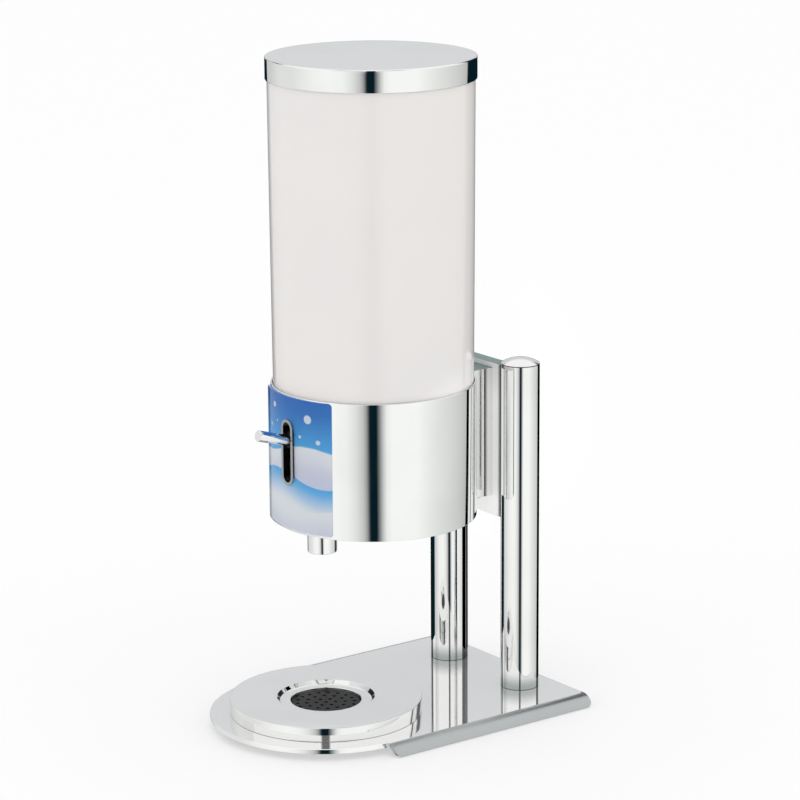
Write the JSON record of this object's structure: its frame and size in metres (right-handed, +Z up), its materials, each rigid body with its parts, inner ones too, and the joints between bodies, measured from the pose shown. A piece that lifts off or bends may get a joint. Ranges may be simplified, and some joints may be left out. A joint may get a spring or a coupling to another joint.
{
  "type": "milk dispenser",
  "caption": "Free-standing buffet milk dispenser with a lidded milky container, polished drum with lever tap and picture panel, tube columns, bent base and drip tray.",
  "frame": {"origin": "middle of the footprint, on the table", "axes": "+Z up, lever and spout face -Y, +X to the right of someone who faces the lever"},
  "size_m": [0.2168, 0.2904, 0.5477],
  "materials": {
    "base_steel": "polished stainless sheet, bent sides a little duller",
    "column_steel": "polished stainless tube",
    "plate_steel": "polished stainless",
    "drum_steel": "mirror-polished stainless",
    "lid_steel": "mirror-polished stainless",
    "tray_steel": "polished stainless, spun",
    "trim_steel": "polished stainless",
    "tap_steel": "machined stainless",
    "screw_steel": "plain stainless",
    "milky_plastic": "milky, translucent, smooth",
    "clear_plastic": "clear, polished",
    "printed_card": "printed in blue and white",
    "feet_rubber": "matte black",
    "mat_rubber": "matte black",
    "seal_silicone": "matte, pale",
    "bush_plastic": "matte, off-white"
  },
  "bodies": {
    "frame": {"base_plate": "base_steel", "rubber_feet": "feet_rubber", "base_stiffener": "tap_steel", "base_bolts": "screw_steel", "column_foot_plugs": "tap_steel", "column_left": "column_steel", "column_right": "column_steel", "column_cap_left": "column_steel", "column_cap_right": "column_steel", "mount_plate": "plate_steel", "housing_bracket": "plate_steel", "bracket_screws": "screw_steel", "housing_screws": "screw_steel", "housing_drum": "drum_steel", "housing_floor": "drum_steel", "floor_screws": "screw_steel", "picture_card": "printed_card", "front_panel": "clear_plastic", "slot_bezel": "trim_steel", "bezel_ring": "tap_steel", "seat_ring": "tap_steel", "seat_gasket": "seal_silicone", "spout": "trim_steel", "tap_body": "tap_steel", "inlet_elbow": "tap_steel", "inlet_nut": "tap_steel", "bonnet": "tap_steel", "bonnet_seal": "seal_silicone", "stem_seal": "seal_silicone", "return_spring": "screw_steel", "pivot_pin": "screw_steel", "pivot_clip": "screw_steel"},
    "lever": {"lever_hub": "tap_steel", "lever_rod": "trim_steel", "lever_bush": "bush_plastic"},
    "stem": {"valve_stem": "tap_steel", "stem_pin": "screw_steel", "valve_plug": "seal_silicone"},
    "container": {"container": "milky_plastic", "outlet_oring": "seal_silicone"},
    "lid": {"lid": "lid_steel", "lid_liner": "milky_plastic", "lid_seal": "seal_silicone"},
    "pan": {"drip_pan": "tray_steel"},
    "cover": {"tray_cover": "tray_steel"},
    "mat": {"well_mat": "mat_rubber"}
  },
  "joints": [
    {"name": "lever_hinge", "type": "hinge", "parent": "frame", "child": "lever", "pos_m": [0, -0.0605, 0.2379], "axis": [1, 0, 0], "range_deg": [0, 45], "stiffness_Nm_per_rad": 0.06, "springref_deg": -45.84},
    {"name": "stem_slide", "type": "slide", "parent": "frame", "child": "stem", "axis": [0, 0, 1], "range_m": [0, 0.0076], "deforming": ["return_spring"]},
    {"name": "container_lift", "type": "slide", "parent": "frame", "child": "container", "axis": [0, 0, 1], "range_m": [0, 0.08]},
    {"name": "lid_lift", "type": "slide", "parent": "container", "child": "lid", "axis": [0, 0, 1], "range_m": [0, 0.05]},
    {"name": "pan_lift", "type": "slide", "parent": "frame", "child": "pan", "axis": [0, 0, 1], "range_m": [0, 0.05]},
    {"name": "cover_lift", "type": "slide", "parent": "pan", "child": "cover", "axis": [0, 0, 1], "range_m": [0, 0.04]},
    {"name": "mat_lift", "type": "slide", "parent": "cover", "child": "mat", "axis": [0, 0, 1], "range_m": [0, 0.03]}
  ],
  "couplings": [
    {"joint": "stem_slide", "follows": "lever_hinge", "m_per_rad": 0.0094931}
  ]
}
